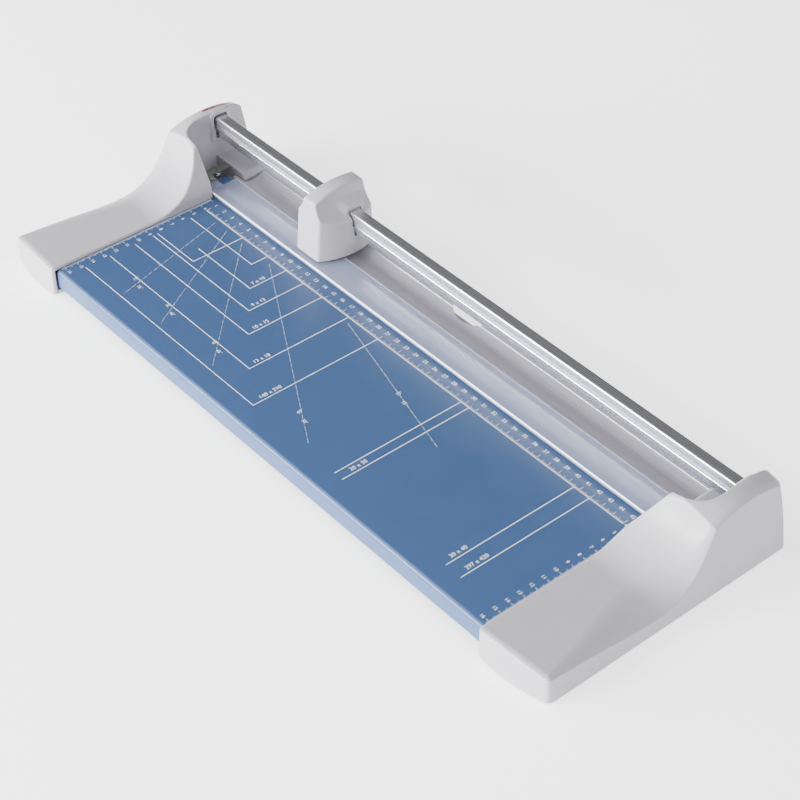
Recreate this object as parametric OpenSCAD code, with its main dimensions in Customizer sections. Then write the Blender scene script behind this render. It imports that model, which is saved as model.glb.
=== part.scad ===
// Rotary paper trimmer: flat sheet-steel table between two moulded end caps, a guide rail
// across the back and a cutting head with a round blade that slides along it.
// Millimetres. +X along the cut, front towards -Y, +Z up, standing on z = 0.

/* [Table] */
// Longest cut, between the inner faces of the end caps
cut_l = 460; // [380:5:520]
// Height of the table top above the surface the trimmer stands on
deck_z = 22; // [21:0.5:23]
// Front edge of the table, in front of the middle of the machine
board_front = 100; // [80:1:110]
// Thickness of the table sheet
board_t = 1.2; // [1:0.1:1.2]
// Depth of the folded front edge
flange_h = 15; // [8:1:17]

/* [End caps] */
// Width of one end cap along X, at its foot
cap_w = 57; // [56:0.5:64]
// Wall of the moulded caps
cap_wall = 2.4; // [2.2:0.1:2.6]
// Radius of the hollow ramp up to the crest
ramp_r = 52.6; // [51:0.2:56]
// Height of the crest over the table
crest_h = 42.5; // [42:0.5:44]

/* [Rail and head] */
// Distance of the rail's middle behind the cutting edge
rail_back = 11.3; // [11:0.1:12]
// Height of the rail's underside over the table
rail_up = 20; // [20:0.5:21]
// Where the cutting head stands along the cut, from the middle
head_x = -122; // [-239:1:239]
// Radius of the round blade
wheel_r = 14; // [13:0.1:14.5]

/* [Clamp strip] */
// Width of the clear clamp strip
strip_w = 25; // [22:0.5:25]
// Gap under the clamp strip at rest
strip_lift = 0.8; // [0.6:0.1:1]

/* [Hidden] */
$fn = 48;
e = 0.01;

// The cutting edge is the line that everything at the back is measured from.
cut_y = 66;
cap_in = cut_l / 2;
cap_out = cap_in + cap_w;
cap_mid = cap_in + 28;
foot_h = 1.2;
foot_d = 13;
cap_front = -board_front - 4.8;
back_y = cut_y + 40.5;

light_grey = [0.76, 0.75, 0.77];
mid_grey = [0.62, 0.61, 0.64];
dark_grey = [0.25, 0.25, 0.27];
steel = [0.80, 0.81, 0.83];
zinc = [0.70, 0.73, 0.72];
blue = [0.25, 0.42, 0.62];

// Points on an arc in a plane, from angle a0 to a1
function arc(cx, cy, r, a0, a1, n = 16) =
    [for (i = [0:n]) let (a = a0 + (a1 - a0) * i / n) [cx + r * cos(a), cy + r * sin(a)]];

// Extrudes an outline drawn in (Y, Z) along X from x0 to x1
module along_x(x0, x1) {
    translate([x0, 0, 0]) rotate([90, 0, 90]) linear_extrude(x1 - x0) children();
}

// Extrudes an outline drawn in (X, Z) along Y from y0 to y1
module along_y(y0, y1) {
    translate([0, y1, 0]) rotate([90, 0, 0]) linear_extrude(y1 - y0) children();
}

// Round bar along Y
module bar_y(x, y0, y1, z, d) {
    translate([x, y0, z]) rotate([-90, 0, 0]) cylinder(h = y1 - y0, d = d);
}

// Box from its two corners
module box(a, b) {
    translate(a) cube(b - a);
}

// ---- Table ----

flange_bend = 3;
board_back = cut_y - 2;
board_tongue = 9.5;
well_in = cap_in + 17;
rear_flange = 14;

module board_outline(t) {
    z1 = deck_z;
    y0 = -board_front;
    polygon(concat(
        [[y0, z1 - flange_h]],
        arc(y0 + flange_bend, z1 - flange_bend, flange_bend, 180, 90, 6),
        [[board_back, z1], [board_back, z1 - rear_flange],
         [board_back - t, z1 - rear_flange], [board_back - t, z1 - t]],
        arc(y0 + flange_bend, z1 - flange_bend, flange_bend - t, 90, 180, 6),
        [[y0 + t, z1 - flange_h]]));
}

module board() {
    tongue_y0 = -board_front + 8;
    tongue_y1 = cut_y - 30;
    color(blue) {
        difference() {
            along_x(-cap_in + 0.4, cap_in - 0.4) board_outline(board_t);
            for (x = blade_screw_x)
                bar_y(x, board_back - board_t - 1, board_back + 1, blade_screw_z, 4.2);
        }
        for (s = [-1, 1]) {
            x0 = s > 0 ? cap_in - 0.4 : -cap_in - board_tongue;
            x1 = s > 0 ? cap_in + board_tongue : -cap_in + 0.4;
            box([x0, tongue_y0, deck_z - board_t], [x1, tongue_y1, deck_z]);
            wx0 = s > 0 ? cap_in - 0.4 : -well_in;
            wx1 = s > 0 ? well_in : -cap_in + 0.4;
            box([wx0, cut_y - 25.6, deck_z - board_t], [wx1, board_back, deck_z]);
        }
    }
}

// ---- Rear channel with the trough behind the cut ----

channel_z0 = foot_h + 0.6;
channel_back = cut_y + 25.5;
channel_front = cut_y - 14;
channel_end = cap_in + 14.5;
ledge_t = 2.4;
web_t = 2;
slot_back = cut_y + 2.2;
trough_dip = 2.6;

// Height of the trough's hollow at a distance u (0 to 1) from its front
function trough_z(u) = deck_z - 1.7 + 1.2 * u - trough_dip * 4 * u * (1 - u) * 0.5;

module channel_outline() {
    wall_y = channel_back - ledge_t;
    floor_z = channel_z0 + web_t;
    upright_top = channel_z0 + 16;
    trough = [for (i = [8:-1:0]) let (u = i / 8) [slot_back + (wall_y - slot_back) * u, trough_z(u)]];
    difference() {
        // floor, rear wall with the ledge, trough, upright behind the table's flange
        polygon(concat(
            [[channel_front, channel_z0], [channel_back, channel_z0], [channel_back, deck_z],
             [wall_y, deck_z]],
            trough,
            [[slot_back, floor_z], [upright_y + web_t, floor_z], [upright_y + web_t, upright_top],
             [upright_y, upright_top], [upright_y, floor_z], [channel_front, floor_z]]));
        // closed cell under the trough
        polygon(concat(
            [[wall_y, floor_z]],
            [for (p = trough) [min(max(p[0], slot_back + web_t), wall_y), p[1] - web_t]],
            [[slot_back + web_t, floor_z]]));
    }
}

upright_y = board_back - board_t - 0.1 - web_t;
notch_r = 21.4;
notch_reach = 7.2;

module rear_channel() {
    color(mid_grey) difference() {
        along_x(-channel_end, channel_end) channel_outline();
        // finger notch in the middle of the rear ledge
        translate([0, channel_back - notch_reach + notch_r, deck_z - 7])
            cylinder(h = 10, r = notch_r);
        for (x = blade_screw_x) bar_y(x, upright_y - 1, upright_y + web_t + 1, blade_screw_z, 4.2);
    }
}

// ---- Fixed lower blade ----

counter_t = 1.9;
blade_screw_x = [for (i = [-3:3]) i * (cut_l - 40) / 6];
blade_screw_z = deck_z - 8;

module counter_blade() {
    color(steel) difference() {
        box([-cap_in - 14, cut_y - counter_t, deck_z - rear_flange], [cap_in + 14, cut_y, deck_z]);
        for (x = blade_screw_x) bar_y(x, cut_y - 3, cut_y + 1, blade_screw_z, 4);
    }
}

module counter_blade_screws() {
    color(zinc) for (x = blade_screw_x) {
        difference() {
            bar_y(x, upright_y - 2.4, upright_y, blade_screw_z, 7.4);
            bar_y(x, upright_y - 3, upright_y - 1, blade_screw_z, 3.4, $fn = 6);
        }
        bar_y(x, upright_y - e, cut_y - 0.2, blade_screw_z, 3.98);
    }
}

// ---- End caps, drawn on the right and mirrored to the left ----

plate_t = 3;
cap_z0 = foot_h + plate_t;
ledge_top = deck_z + 0.5;
ramp_y0 = cut_y - 80;
crest_y = cut_y + 4;
crest_r = 85;
crease_y = cut_y - 30.5;
fall = 3.7;         // fall of the ledge and ramp towards the outer side, degrees
crest_fall = 16;    // fall of the crest towards the outer side, degrees
skew = 5.2;         // how far the crease runs back towards the outer side, degrees
pocket_x = cap_in + 40;
pocket_y = cut_y - 27;
pocket_r = 18;
sill_top = deck_z + 4;
sill_y = cut_y + 5.8;
sill_x = cap_in + 5;
lean_z = deck_z + 9.8;
inner_top_z = deck_z + 37.5;
front_corner_r = 4;
back_corner_r = 5;

// Side outline of a cap's ledge and ramp, moved inwards by t
module ramp_side(t) {
    a_end = asin((crease_y - ramp_y0) / ramp_r);
    ramp = arc(ramp_y0, ledge_top + ramp_r, ramp_r + t, 270, 270 + a_end, 24);
    last = ramp[24];
    polygon(concat(
        [[cap_front - 7, 0], [cap_front - 7, ledge_top - t]], ramp,
        [[last[0] + 5, last[1] + 30], [back_y + 8, 110], [back_y + 8, 0]]));
}

// Side outline of a cap's crest, moved inwards by t
module crest_side(t) {
    r = crest_r - t;
    a0 = acos((crease_y - 24 - crest_y) / r);
    a1 = acos((back_y + 8 - crest_y) / r);
    crest = arc(crest_y, deck_z + crest_h - crest_r, r, a0, a1, 20);
    polygon(concat([[cap_front - 7, 0], [cap_front - 7, 90], [crest[0][0], 90]], crest,
        [[back_y + 8, 0]]));
}

// Front face, outer side and rounded upright corners of a cap, moved inwards by t
module cap_plan(t) {
    y_out = cap_front + 5.2;
    rf = front_corner_r - t;
    rb = back_corner_r - t;
    xo = cap_out - t;
    polygon(concat(
        [[cap_in - 6, cap_front + t]],
        arc(xo - rf, y_out + t + rf, rf, 278, 360, 10),
        arc(xo - rb, back_y - t - rb, rb, 0, 90, 8),
        [[cap_in - 6, back_y - t]]));
}

// Turns about the line through a point at x, z, like a hinge along Y
module turn_y(x, z, a) {
    translate([x, 0, z]) rotate([0, a, 0]) translate([-x, 0, -z]) children();
}

module cap_block(t, z0 = cap_z0) {
    intersection() {
        translate([cap_mid, 0, 0]) rotate([0, fall, skew]) translate([-cap_mid, 0, 0])
            along_x(cap_in - 20, cap_out + 20) ramp_side(t);
        turn_y(cap_out - 12.3, deck_z + crest_h, crest_fall)
            along_x(cap_in - 20, cap_out + 20) crest_side(t);
        translate([0, 0, z0]) linear_extrude(80) cap_plan(t);
        // outer side and upper back lean inwards as they rise
        translate([cap_out - t, 0, foot_h]) rotate([0, -4, 0])
            box([-90, -130, -10], [0, 130, 90]);
        translate([0, back_y - 2.3 - t, deck_z + 13]) rotate([14.5, 0, 0])
            box([cap_in - 20, -230, -60], [cap_out + 20, 0, 90]);
        // inner side is upright by the table and leans outwards beside the ramp
        box([cap_in + t, -130, z0 - 1], [cap_out + 10, 130, 100]);
        turn_y(cap_in + t, lean_z, 30) box([cap_in + t, -130, -60], [cap_out + 40, 130, 130]);
        turn_y(cap_in + 13 + t, inner_top_z, -13)
            box([cap_in - 60, -130, -60], [cap_out + 60, 130, inner_top_z - t]);
    }
}

// Room for the head behind the ramp, grown by t, from z0 up
module pocket_plan(t) {
    polygon(concat(
        [[cap_in - 8, pocket_y - t]],
        arc(pocket_x - pocket_r, pocket_y + pocket_r, pocket_r + t, 270, 360, 14),
        [[pocket_x + t, back_y + 8], [cap_in - 8, back_y + 8]]));
}

// Open well in front of the sill, where the strip's hanger goes down, grown by t
module well_plan(t) {
    intersection() {
        pocket_plan(t);
        translate([cap_in - 8, pocket_y - t])
            square([pocket_x - cap_in + 12, sill_y - pocket_y + 2 * t]);
    }
}

module up(z0, z1) {
    translate([0, 0, z0]) linear_extrude(z1 - z0) children();
}

// Sill that covers the end of the rear channel
module sill() {
    box([sill_x, sill_y, cap_z0], [pocket_x + cap_wall, channel_back + 3, sill_top]);
}

// Room under the sill for the end of the channel: its front wall stands on the trough's edge
module sill_hollow() {
    box([sill_x - 4, sill_y - 1, 0], [channel_end + 0.5, channel_back + 0.3, deck_z - 1.4]);
    box([sill_x - 4, sill_y + 1.4, 0], [channel_end + 0.5, channel_back + 0.3, deck_z + 0.6]);
    box([channel_end, sill_y + 7.6, 0], [pocket_x - 1.6, channel_back + 0.3, deck_z + 0.6]);
}

// Screws that hold the floor plate and the rail saddle
boss_xy = [[cap_in + 20, cap_front + 21], [cap_out - 12, cap_front + 21], [cap_in + 20, -20],
           [cap_out - 12, 30], [cap_out - 12, back_y - 8]];
saddle_screw = [pocket_x + cap_wall + 2.8, cut_y + rail_back + 9];
case_screw_d = 3.4;

module cap_body() {
    difference() {
        union() {
            difference() {
                cap_block(0, foot_h);
                // the base plate lies inside the cap's foot
                up(0, cap_z0) cap_plan(cap_wall);
                // hollow, open below, that keeps a wall around the pocket and the well
                difference() {
                    cap_block(cap_wall, 0);
                    up(sill_top - cap_wall, 120) pocket_plan(cap_wall);
                    up(-1, 60) well_plan(cap_wall);
                    sill();
                    for (p = boss_xy) translate([p[0], p[1], cap_z0]) cylinder(h = 60, d = 8);
                }
                up(sill_top, 120) pocket_plan(0);
                up(-1, 60) well_plan(0);
                // behind the sill the pocket is open to the middle of the machine
                box([cap_in - 8, channel_back + 3, 0], [pocket_x, back_y + 8, 100]);
                box([cap_in - 8, sill_y - 1, 0], [sill_x, back_y + 8, 100]);
                sill_hollow();
                // table edge goes in under the lip
                box([cap_in - 1, cap_front + 3.6, 0],
                    [cap_in + board_tongue + 0.3, pocket_y - 3, deck_z]);
                box([cap_in - 1, cap_front + 3.6, 0],
                    [cap_in + cap_wall + 0.2, pocket_y + 1, deck_z]);
            }
            along_x(pocket_x - 1.4, pocket_x + cap_wall) rail_collar(4.3, rail_z0 - 3);
        }
        // rail goes through the pocket wall
        along_x(pocket_x - 4, pocket_x + cap_wall + 1) rail_outline(1);
        for (p = boss_xy) translate([p[0], p[1], cap_z0 - 1]) cylinder(h = 12, d = case_screw_d);
    }
}

module left_cap() {
    color(light_grey) mirror([1, 0, 0]) difference() {
        cap_body();
        inlay_room();
    }
}

module right_cap() {
    color(light_grey) cap_body();
}

// Plain red inlay along the outer edge of the left cap's crest
inlay_y = [cut_y + 0.8, cut_y + 21.5];
inlay_x = cap_out - 11.8;
inlay_w = 4.4;

module inlay_room() {
    difference() {
        box([inlay_x, inlay_y[0], deck_z + 20], [inlay_x + inlay_w, inlay_y[1], deck_z + 60]);
        cap_block(0.8);
    }
}

module red_inlay() {
    color([0.66, 0.22, 0.25]) mirror([1, 0, 0]) intersection() {
        box([inlay_x + 0.05, inlay_y[0] + 0.05, deck_z + 20],
            [inlay_x + inlay_w - 0.05, inlay_y[1] - 0.05, deck_z + 60]);
        difference() {
            cap_block(-0.3);
            cap_block(0.8);
        }
    }
}

// ---- Base plates inside the caps' feet ----

rib_x = cap_in + 1;
rib_y = -board_front + 10;

module cap_floor() {
    difference() {
        union() {
            intersection() {
                up(foot_h, cap_z0) cap_plan(cap_wall + 0.3);
                box([cap_in, -130, 0], [cap_out, 130, 20]);
            }
            // ribs that carry the edge of the table
            box([rib_x, rib_y, foot_h], [rib_x + 2.4, pocket_y - cap_wall - 0.2, deck_z - board_t]);
            for (y = [rib_y, -30])
                box([rib_x, y, foot_h], [cap_in + board_tongue - 0.2, y + 2.4, deck_z - board_t]);
            // cup that the hanger's pin and spring stand in
            translate([hanger_pin[0], hanger_pin[1], foot_h]) cylinder(h = 6.6, d = 11);
        }
        // room for the rear channel, and the cap's open rear corner
        box([cap_in - 1, channel_front - 0.3, 0], [channel_end + 0.3, 130, 40]);
        box([cap_in - 1, channel_back + 3, 0], [pocket_x, 130, 40]);
        translate([hanger_pin[0], hanger_pin[1], cap_z0]) cylinder(h = 6, d = 8);
        for (p = concat(boss_xy, [saddle_screw])) translate([p[0], p[1], foot_h]) {
            translate([0, 0, -1]) cylinder(h = 6, d = case_screw_d + 0.2);
            translate([0, 0, -e]) cylinder(h = 1.6, d1 = 6.9, d2 = case_screw_d + 0.2);
        }
        for (p = foot_xy) translate([p[0], p[1], 0]) cylinder(h = foot_h + foot_in, d = foot_d);
    }
}

module left_cap_floor() {
    color(light_grey) mirror([1, 0, 0]) cap_floor();
}

module right_cap_floor() {
    color(light_grey) cap_floor();
}

// Both sides of the machine carry the same pieces
module both_sides() {
    children();
    mirror([1, 0, 0]) children();
}

module case_screws() {
    color(zinc) both_sides() for (p = concat(boss_xy, [saddle_screw]))
        translate([p[0], p[1], foot_h]) difference() {
            union() {
                cylinder(h = 1.55, d1 = 6.8, d2 = case_screw_d - 0.1);
                cylinder(h = 12, d = case_screw_d - 0.1);
            }
            translate([0, 0, -e]) cylinder(h = 1, d = 2.2, $fn = 6);
        }
}

foot_in = 1;
foot_xy = [[cap_in + 34, -board_front + 30], [cap_in + 30, back_y - 22.5]];

module feet() {
    color(dark_grey) both_sides() for (p = foot_xy) translate([p[0], p[1], 0])
        cylinder(h = foot_h + foot_in, d = foot_d - 0.2);
}

// ---- Guide rail ----

rail_y = cut_y + rail_back;
rail_z0 = deck_z + rail_up;
rail_h = 17.7;
rail_ridge = 8.2;
rail_half = 4.8;
rail_foot = 3.5;
rail_end = cap_in + 47.2;

// Rail section, grown by t on every side
module rail_outline(t) {
    zt = rail_z0 + rail_h + t;
    zr = rail_z0 + rail_ridge;
    h = rail_half + t;
    f = rail_foot + t;
    r = 1.1;
    translate([rail_y, 0]) polygon(concat(
        arc(h - r, zt - r, r, 0, 90, 5),
        arc(-h + r, zt - r, r, 90, 180, 5),
        arc(-h + 0.8, zr + 0.8 - t * 0.3, 0.8, 180, 240, 3),
        [[-f, rail_z0 - t], [f, rail_z0 - t]],
        arc(h - 0.8, zr + 0.8 - t * 0.3, 0.8, 300, 360, 3)));
}

// Rounded hood outline around the rail, used for the cap's bead and the head's collars
module rail_collar(grow, z0) {
    h = rail_half + grow;
    zt = rail_z0 + rail_h + grow;
    r = 4.2;
    translate([rail_y, 0]) polygon(concat(
        arc(h - r, zt - r, r, 0, 90, 8),
        arc(-h + r, zt - r, r, 90, 180, 8),
        [[-h, z0], [h, z0]]));
}

module guide_rail() {
    groove_d = 0.35;
    color(steel) difference() {
        along_x(-rail_end, rail_end) rail_outline(0);
        // hollow core and fine grooves along both faces
        along_x(-rail_end - 1, rail_end + 1) {
            translate([rail_y - 2.8, rail_z0 + rail_ridge + 1.6]) square([5.6, 5.6]);
            translate([rail_y - 1.6, rail_z0 + 2]) square([3.2, 5.4]);
            for (s = [-1, 1], i = [0:3])
                translate([rail_y + s * rail_half - 0.35, rail_z0 + rail_ridge + 1.7 + i * 1.7])
                    square([0.7, groove_d]);
        }
        both_sides() bar_y(rail_screw_x, rail_y - 8, rail_y, rail_screw_z, rail_screw_d);
    }
}

// ---- Rail saddles in the caps ----

saddle_x = [pocket_x + cap_wall + 0.4, rail_end + 0.4];
saddle_z0 = cap_z0;
rail_screw_x = (saddle_x[0] + saddle_x[1]) / 2;
rail_screw_z = rail_z0 + rail_ridge + 4.4;
rail_screw_d = 3;

module rail_saddle() {
    wall = 3;
    difference() {
        union() {
            box([saddle_x[0], rail_y - rail_half - wall, saddle_z0],
                [saddle_x[1], rail_y + rail_half + wall, rail_z0 + rail_ridge + 7.2]);
            box([saddle_x[0], rail_y - 15, saddle_z0], [saddle_x[1], rail_y + 14, saddle_z0 + 4]);
        }
        along_x(saddle_x[0] - 1, saddle_x[1] + 1) {
            rail_outline(0.1);
            translate([rail_y - rail_half - 0.1, rail_z0 + rail_ridge + 1])
                square([2 * rail_half + 0.2, 20]);
            translate([rail_y - 4.5, saddle_z0 + 12]) square([9, 20]);
        }
        bar_y(rail_screw_x, rail_y - 12, rail_y, rail_screw_z, rail_screw_d + 0.2);
        translate([saddle_screw[0], saddle_screw[1], saddle_z0 - 1])
            cylinder(h = 10, d = case_screw_d);
    }
}

module left_rail_saddle() {
    color(mid_grey) mirror([1, 0, 0]) rail_saddle();
}

module right_rail_saddle() {
    color(mid_grey) rail_saddle();
}

module rail_screws() {
    head_y = rail_y - rail_half - 3;
    color(zinc) both_sides() difference() {
        union() {
            bar_y(rail_screw_x, head_y - 2, head_y, rail_screw_z, 5);
            bar_y(rail_screw_x, head_y - e, rail_y - rail_half + 1.6, rail_screw_z,
                rail_screw_d - 0.02);
        }
        bar_y(rail_screw_x, head_y - 3, head_y - 1, rail_screw_z, 2.6, $fn = 6);
    }
}

// ---- Clamp strip that the head presses on the paper ----

strip_t = 2.8;
strip_z0 = deck_z + strip_lift;
strip_z1 = strip_z0 + strip_t;
strip_back = cut_y - 1.2;
strip_front = strip_back - strip_w;
tab_back = cut_y - 13;
tab_x = cap_in + 19.5;
strip_x = cap_in + 4.4;
tab_t = 1;
rivet_xy = [[cap_in + 16.5, cut_y - 20.6], [cap_in + 16.5, cut_y - 15.4]];
hanger_pin = [cap_in + 24, cut_y - 6];

module clamp_strip() {
    chamfer = 0.5;
    color([0.78, 0.82, 0.90, 0.45]) difference() {
        union() {
            along_x(-strip_x, strip_x) polygon([
                [strip_front, strip_z0], [strip_front, strip_z1 - chamfer],
                [strip_front + chamfer, strip_z1], [strip_back - chamfer, strip_z1],
                [strip_back, strip_z1 - chamfer], [strip_back, strip_z0]]);
            box([-tab_x, strip_front + 0.4, strip_z0], [tab_x, tab_back, strip_z1 - tab_t]);
        }
        both_sides() for (p = rivet_xy)
            translate([p[0], p[1], strip_z0 - 1]) cylinder(h = 6, d = 3);
    }
}

module strip_hanger() {
    z0 = strip_z1 - tab_t;
    difference() {
        union() {
            box([tab_x - 6, tab_back - 10, z0], [hanger_pin[0] + 4, tab_back, strip_z1]);
            // tongue that runs back to the sill
            box([hanger_pin[0] - 3.2, tab_back - 1, z0],
                [hanger_pin[0] + 4, sill_y - 0.8, strip_z1]);
            translate([hanger_pin[0], hanger_pin[1], saddle_z0 + 1.6])
                cylinder(h = z0 - saddle_z0 - 1.6 + e, d = 4);
        }
        for (p = rivet_xy) translate([p[0], p[1], z0 - 1]) cylinder(h = 6, d = 3);
    }
}

module left_strip_hanger() {
    color(zinc) mirror([1, 0, 0]) strip_hanger();
}

module right_strip_hanger() {
    color(zinc) strip_hanger();
}

module strip_rivets() {
    color(steel) both_sides() for (p = rivet_xy)
        translate([p[0], p[1], strip_z0]) cylinder(h = strip_t, d = 2.98);
}

// Lift spring around the hanger's pin, as the tube that its wire fills
module strip_spring() {
    z0 = cap_z0 + 0.1;
    translate([hanger_pin[0], hanger_pin[1], z0]) difference() {
        cylinder(h = strip_z1 - tab_t - 0.1 - z0, d = 7.2);
        translate([0, 0, -1]) cylinder(h = 40, d = 5.2);
    }
}

module left_strip_spring() {
    color(steel) mirror([1, 0, 0]) strip_spring();
}

module right_strip_spring() {
    color(steel) strip_spring();
}

// ---- Cutting head, drawn about x = 0 and moved to head_x ----

head_z0 = deck_z + 5.5;
head_z1 = deck_z + 56;
head_half = 20.5;
head_side_r = 49.6;
head_side_y = cut_y + 6;
head_front = cut_y - 22;
head_back = cut_y + 29;
top_half = 6.3;
flank_r = 24;
shell_t = 2.2;
collar_half = 14.5;
cavity_top = deck_z + 27;

// Seen from the side
module head_side(t) {
    front_top = [cut_y - 18.4 + t, deck_z + 50.4 - t];
    crown_r = 75;
    crown_y = cut_y + 9;
    a0 = acos((front_top[0] + 1.5 - crown_y) / (crown_r - t));
    a1 = acos((cut_y + 26 - t - crown_y) / (crown_r - t));
    polygon(concat(
        [[head_front + t, head_z0 - 1], [head_front + t + 0.2, head_z0 + 2], front_top],
        arc(crown_y, head_z1 - crown_r, crown_r - t, a0, a1, 14),
        [[cut_y + 27.6 - t, deck_z + 50.5 - t], [head_back - t, deck_z + 30],
         [head_back - t, head_z0 - 1]]));
}

// Seen from the front: the flanks are hollow above the shoulders
module head_face(t) {
    z_top = head_z1 - 1;
    a_end = acos((flank_r - (head_half - top_half)) / flank_r);
    right = arc(top_half + flank_r - t, z_top, flank_r, 180, 180 + a_end, 14);
    low = head_half + 2;
    polygon(concat(
        [[low, head_z0 - 1], [low, right[14][1] - 2]],
        [for (i = [14:-1:0]) right[i]],
        [[top_half - t, head_z1 + 3], [-top_half + t, head_z1 + 3]],
        [for (i = [0:14]) [-right[i][0], right[i][1]]],
        [[-low, right[14][1] - 2], [-low, head_z0 - 1]]));
}

// Seen from above: bowed sides and rounded corners
module head_plan(t) {
    cx = head_half - head_side_r;
    r = head_side_r - t;
    a0 = asin((head_front + 3 - head_side_y) / head_side_r);
    a1 = asin((head_back - 3 - head_side_y) / head_side_r);
    side = arc(cx, head_side_y, r, a0, a1, 16);
    fx = side[0][0];
    bx = side[16][0];
    polygon(concat(
        [[fx - 2.6, head_front + t + 0.4], [fx - 0.8, head_front + t + 1.5]],
        side,
        [[bx - 0.9, head_back - t - 1], [bx - 3, head_back - t]],
        [[-bx + 3, head_back - t], [-bx + 0.9, head_back - t - 1]],
        [for (i = [16:-1:0]) [-side[i][0], side[i][1]]],
        [[-fx + 0.8, head_front + t + 1.5], [-fx + 2.6, head_front + t + 0.4],
         [-fx + 6, head_front + t], [fx - 6, head_front + t]]));
}

module head_block(t) {
    intersection() {
        along_x(-30, 30) head_side(t);
        along_y(head_front - 5, head_back + 5) head_face(t);
        translate([0, 0, head_z0]) linear_extrude(80) head_plan(t);
    }
}

module at_head() {
    translate([head_x, 0, 0]) children();
}

module head_shell() {
    color(light_grey) at_head() difference() {
        union() {
            head_block(0);
            along_x(-collar_half, collar_half) rail_collar(4, rail_z0 + 2);
        }
        // hollow below, open at the bottom
        intersection() {
            translate([0, 0, -2]) head_block(shell_t);
            box([-40, 0, 0], [40, 150, cavity_top]);
        }
        translate([0, 0, head_z0 - 1]) linear_extrude(2) intersection() {
            head_plan(shell_t);
            translate([-40, 0]) square([80, 150]);
        }
        along_x(-40, 40) rail_outline(0.9);
        both_sides() along_x(glide_x, glide_end + 0.1) glide_outline(0.1);
        for (x = shell_screw_x) translate([x, shell_screw_y, cavity_top - 1])
            cylinder(h = 10, d = 3);
    }
}

// ---- Glides: slippery liners at both ends of the head ----

glide_x = 10;
glide_end = collar_half - 1.3;
glide_t = 1.9;

module glide_outline(grow) {
    h = rail_half + 0.35 + glide_t + grow;
    zt = rail_z0 + rail_h + 0.35 + glide_t + grow;
    translate([rail_y - h, rail_z0 - 0.4 - glide_t - grow])
        square([2 * h, zt - rail_z0 + 0.4 + glide_t + grow]);
}

module glide() {
    difference() {
        along_x(glide_x + 0.05, glide_end) glide_outline(0);
        along_x(0, 40) rail_outline(0.35);
    }
}

module left_glide() {
    color([0.92, 0.92, 0.90]) at_head() mirror([1, 0, 0]) glide();
}

module right_glide() {
    color([0.92, 0.92, 0.90]) at_head() glide();
}

// ---- Blade carrier under the rail ----

axle_z = deck_z - 2.5 + wheel_r;
axle_d = 5;
carrier_front = cut_y + 4.9;
carrier_back = cut_y + 24;
carrier_half = 9.6;
shell_screw_x = [-6, 6];
shell_screw_y = cut_y + 20.4;

module blade_carrier() {
    color(dark_grey) at_head() difference() {
        box([-carrier_half, carrier_front, head_z0 - 0.4],
            [carrier_half, carrier_back, cavity_top]);
        along_x(-20, 20) rail_outline(0.6);
        along_x(-20, 20) translate([rail_y - 5.6, rail_z0 - 0.5]) square([11.2, 40]);
        bar_y(0, carrier_front - 1, carrier_back + 1, axle_z, axle_d);
        bar_y(0, carrier_front - 1, carrier_front + 4.2, axle_z, 9.4);
        bar_y(0, carrier_back - 4, carrier_back + 1, axle_z, 8.6);
        for (x = shell_screw_x) translate([x, shell_screw_y, 0]) {
            translate([0, 0, head_z0 - 2]) cylinder(h = 40, d = 3.2);
            translate([0, 0, head_z0 - 2]) cylinder(h = 4.6, d = 6);
        }
    }
}

module shell_screws() {
    color(zinc) at_head() for (x = shell_screw_x) translate([x, shell_screw_y, 0]) difference() {
        union() {
            translate([0, 0, head_z0 + 0.8]) cylinder(h = 1.8, d = 5.6);
            translate([0, 0, head_z0 + 2]) cylinder(h = cavity_top - head_z0 + 6, d = 2.98);
        }
        translate([0, 0, head_z0]) cylinder(h = 1.8, d = 2.4, $fn = 6);
    }
}

// Slippery shoe in the mouth of the shell, in front of the wheel, that presses the clamp strip
shoe_half = 8;

module presser_shoe() {
    y0 = head_front + shell_t + 0.6;
    y1 = cut_y - 3;
    z0 = strip_z1 + 0.5;
    color([0.92, 0.92, 0.90]) at_head() {
        along_y(y0, y1) polygon([[-shoe_half + 2, z0], [shoe_half - 2, z0], [shoe_half, z0 + 2],
            [shoe_half, z0 + 6], [-shoe_half, z0 + 6], [-shoe_half, z0 + 2]]);
        box([-3, y0 + 2, z0 + 5.9], [3, y1 - 4, cavity_top - 0.05]);
    }
}

// ---- Wheel, hub, axle ----

wheel_gap = 0.3;
wheel_t = 0.6;
hub_t = 3.6;
hub_d = 13;
spigot_d = 8;
wheel_y = cut_y + wheel_gap;

module cutting_wheel() {
    color(steel) at_head() difference() {
        // the rim is ground to an edge on the side away from the lower blade
        translate([0, wheel_y, axle_z]) rotate([-90, 0, 0]) {
            cylinder(h = 0.15, r = wheel_r, $fn = 128);
            translate([0, 0, 0.15 - e])
                cylinder(h = wheel_t - 0.15, r1 = wheel_r, r2 = wheel_r - 1.6, $fn = 128);
        }
        bar_y(0, wheel_y - 1, wheel_y + 2, axle_z, spigot_d);
    }
}

module wheel_hub() {
    color(dark_grey) at_head() difference() {
        union() {
            bar_y(0, wheel_y + wheel_t, wheel_y + wheel_t + hub_t, axle_z, hub_d);
            bar_y(0, wheel_y + 0.05, wheel_y + wheel_t + 1, axle_z, spigot_d - 0.02);
        }
        bar_y(0, wheel_y - 1, wheel_y + 9, axle_z, axle_d + 0.1);
        for (a = [0:60:300]) rotate_about_axle(a)
            bar_y(4.6, wheel_y + wheel_t + 2.6, wheel_y + 9, axle_z, 1.6);
    }
}

module rotate_about_axle(a) {
    translate([0, 0, axle_z]) rotate([0, a, 0]) translate([0, 0, -axle_z]) children();
}

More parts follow.
